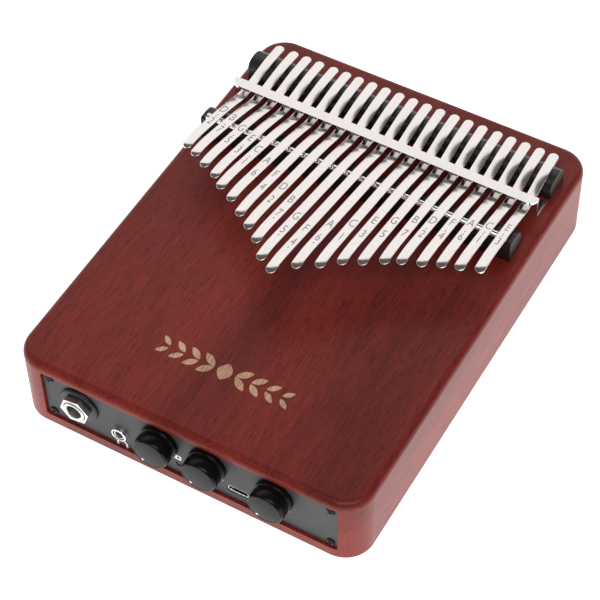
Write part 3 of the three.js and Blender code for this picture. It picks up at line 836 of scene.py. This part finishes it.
def make_bezel():
    node = "output_bezel"
    place = centre(node)
    inner = 4.9 * MM
    outer = (high(node, 0) - low(node, 0)) / 2
    front, back = low(node, 1), high(node, 1)
    outline = [(inner, front), (outer - 1.5 * MM, front), (outer - 1.2 * MM, front + 0.05 * MM)]
    outline += [(outer - 1.2 * MM * (1 - math.sin(a)), front + 1.1 * MM * (1 - math.cos(a)))
                for a in [math.pi / 2 * k / 6 for k in range(1, 7)]]
    outline += [(outer, back), (inner, back)]
    turned("output_bezel_shape", outline, place.x, place.z, BLACK_PLASTIC, HOUSING, node)


def make_bush(node, bore):
    """A threaded socket bush with a turned-in mouth, open from end to end."""
    place = centre(node)
    outer = (high(node, 0) - low(node, 0)) / 2
    root = outer - 0.18 * MM
    front, back = low(node, 1), high(node, 1)
    pitch = 0.75 * MM
    outline = [(bore, back), (bore, front + 0.3 * MM), (bore + 0.3 * MM, front), (outer - 0.3 * MM, front)]
    outline += [(outer, front + 0.3 * MM)]
    y = front + 0.3 * MM
    while y + pitch < back:
        outline += [(outer, y + pitch * 0.2), (outer, y + pitch * 0.45), (root, y + pitch * 0.9)]
        y += pitch
    outline += [(outer, back)]
    turned(f"{node}_shape", outline, place.x, place.z, BUSH_STEEL, HOUSING, node, segments=64)


def make_nut():
    refined("output_nut", CHROME, HOUSING, 0.28 * MM, 3)


def make_ring():
    node = "headphone_ring"
    place = centre(node)
    outer = (high(node, 0) - low(node, 0)) / 2
    inner = outer - 0.7 * MM
    front, back = low(node, 1), high(node, 1)
    outline = [(inner, front + 0.12 * MM), (inner + 0.12 * MM, front), (outer - 0.3 * MM, front),
               (outer - 0.08 * MM, front + 0.12 * MM), (outer, front + 0.35 * MM), (outer, back),
               (inner, back)]
    turned("headphone_ring_shape", outline, place.x, place.z, CHROME, HOUSING, node)


def make_knob(number):
    """A turned knob: slightly domed face, raised rim, straight grip, waist and skirt, one index dot."""
    node = f"knob_{number}"
    body = f"dial_{number}"
    place = centre(node)
    front, back = low(node, 1), high(node, 1)
    bore = 3.06 * MM
    bore_end = low(f"pot_shaft_{number}", 1) - 0.05 * MM
    steps = [
        (6.35, 0.34), (6.5, 0.36), (6.6, 0.26), (6.75, 0.22), (6.95, 0.30), (7.15, 0.55), (7.3, 0.9),
        (7.4, 1.2), (7.48, 1.6), (7.55, 2.1), (7.59, 2.8), (7.6, 3.4), (7.6, 4.8), (7.52, 5.0),
        (7.12, 5.2), (7.08, 5.8), (7.2, 5.95), (7.75, 6.05), (7.9, 6.2), (7.98, 6.6), (8.0, 7.7),
    ]
    outline = [(0, front + 0.06 * MM), (3 * MM, front + 0.10 * MM), (5 * MM, front + 0.20 * MM)]
    outline += [(radius * MM, front + depth * MM) for radius, depth in steps]
    outline += [(7.9 * MM, back), (bore, back), (bore, bore_end), (0, bore_end)]
    turned(f"{node}_shape", outline, place.x, place.z, KNOB_PLASTIC, body, node)
    dot = 0.55 * MM
    reach = 5.5 * MM
    angle = math.radians(-124)
    x = place.x + reach * math.cos(angle)
    z = place.z + reach * math.sin(angle)
    outline = [(0, front + 0.17 * MM), (dot * 0.8, front + 0.17 * MM), (dot, front + 0.21 * MM),
               (dot, front + 0.5 * MM), (0, front + 0.5 * MM)]
    # The index dot is white print with a painted glow from its emission.
    turned(f"{node}_dot", outline, x, z, PRINT_WHITE_PAINTED_GLOW, body, segments=24)


def make_usb():
    refined("usb_socket", CHROME, HOUSING, 0.06 * MM, 2)


# ---- CAD nodes that keep their own shape ---------------------------------------------------------


def repaint():
    kept = {
        "output_jack": BLACK_PLASTIC, "headphone_jack": BLACK_PLASTIC, "status_led": LAMP,
        "circuit_board": BOARD_GREEN, "battery_pad": FOAM, "battery": BATTERY_BLUE, "pickup_disc": BRASS,
        "pickup_wire": WIRE_JACKET, "battery_wire": WIRE_JACKET,
    }
    for number in range(1, 4):
        kept[f"pot_shaft_{number}"] = SHAFT_STEEL
        kept[f"potentiometer_{number}"] = POT_STEEL
    for node, material in kept.items():
        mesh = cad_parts[node].data
        mesh.materials.clear()
        mesh.materials.append(material)


# ---- Camera, lights and floor --------------------------------------------------------------------


CAMERA_DEGREES = (30.68, 51.14, -1.22)
CAMERA_LENS = 123.82
CAMERA_BACK = 0.8341
CAMERA_RIGHT = -0.00535
CAMERA_UP = 0.00276


def make_camera():
    azimuth, elevation, roll = (math.radians(v) for v in CAMERA_DEGREES)
    back = Vector((math.sin(azimuth) * math.cos(elevation), -math.cos(azimuth) * math.cos(elevation),
                   math.sin(elevation)))
    level = Vector((math.cos(azimuth), math.sin(azimuth), 0))
    upright = back.cross(level)
    right = level * math.cos(roll) + upright * math.sin(roll)
    up = upright * math.cos(roll) - level * math.sin(roll)
    data = bpy.data.cameras.new("camera")
    data.sensor_width = 36
    data.lens = CAMERA_LENS
    data.clip_start = 0.01
    data.clip_end = 20
    camera = bpy.data.objects.new("camera", data)
    bpy.context.collection.objects.link(camera)
    place = back * CAMERA_BACK + right * CAMERA_RIGHT + up * CAMERA_UP
    turn = Matrix((right, up, back)).transposed().to_4x4()
    camera.matrix_world = Matrix.Translation(place) @ turn
    bpy.context.scene.camera = camera


def add_light(name, place, aim, width, height, power, colour=(1, 1, 1)):
    data = bpy.data.lights.new(name, "AREA")
    data.shape = "RECTANGLE"
    data.size = width
    data.size_y = height
    data.energy = power
    data.color = colour
    light = bpy.data.objects.new(name, data)
    bpy.context.collection.objects.link(light)
    light.location = place
    light.rotation_mode = "QUATERNION"
    light.rotation_quaternion = (Vector(aim) - Vector(place)).to_track_quat("-Z", "Y")


def make_stage():
    size = 6.0
    vertices = [(-size, -size, 0), (size, -size, 0), (size, size, 0), (-size, size, 0)]
    floor = add_piece("floor", vertices, [[0, 1, 2, 3]], FLOOR, None)
    floor.location.z = -0.05 * MM
    world = bpy.data.worlds.new("studio")
    world.use_nodes = True
    background = world.node_tree.nodes["Background"]
    background.inputs["Color"].default_value = (1.0, 0.995, 0.99, 1)
    background.inputs["Strength"].default_value = 0.10
    bpy.context.scene.world = world
    bpy.context.scene.view_settings.view_transform = "Standard"
    add_light("back_softbox", (-0.59, 0.99, 0.97), (0, 0, 0.03), 3.2, 1.25, 11.5, (1.0, 0.955, 0.94))
    add_light("overhead", (0.32, -0.50, 0.95), (0.04, -0.10, 0.03), 0.9, 0.45, 4.0, (1.0, 0.985, 0.96))
    add_light("left_fill", (-1.0, -0.9, 0.6), (0, 0, 0.02), 1.0, 0.8, 0.8)


make_camera()
make_stage()
make_block()
make_inlay()
refined("control_panel", PANEL_GREY, HOUSING, 0.15 * MM, 2)
make_prints()
make_screws()
make_bezel()
make_nut()
make_bush("output_bush", OUTPUT_BORE)
make_bush("headphone_bush", PHONES_BORE)
make_ring()
make_usb()
make_bars()
for number in range(1, 4):
    make_knob(number)
for number in range(1, TINE_COUNT + 1):
    make_tine(number)
repaint()
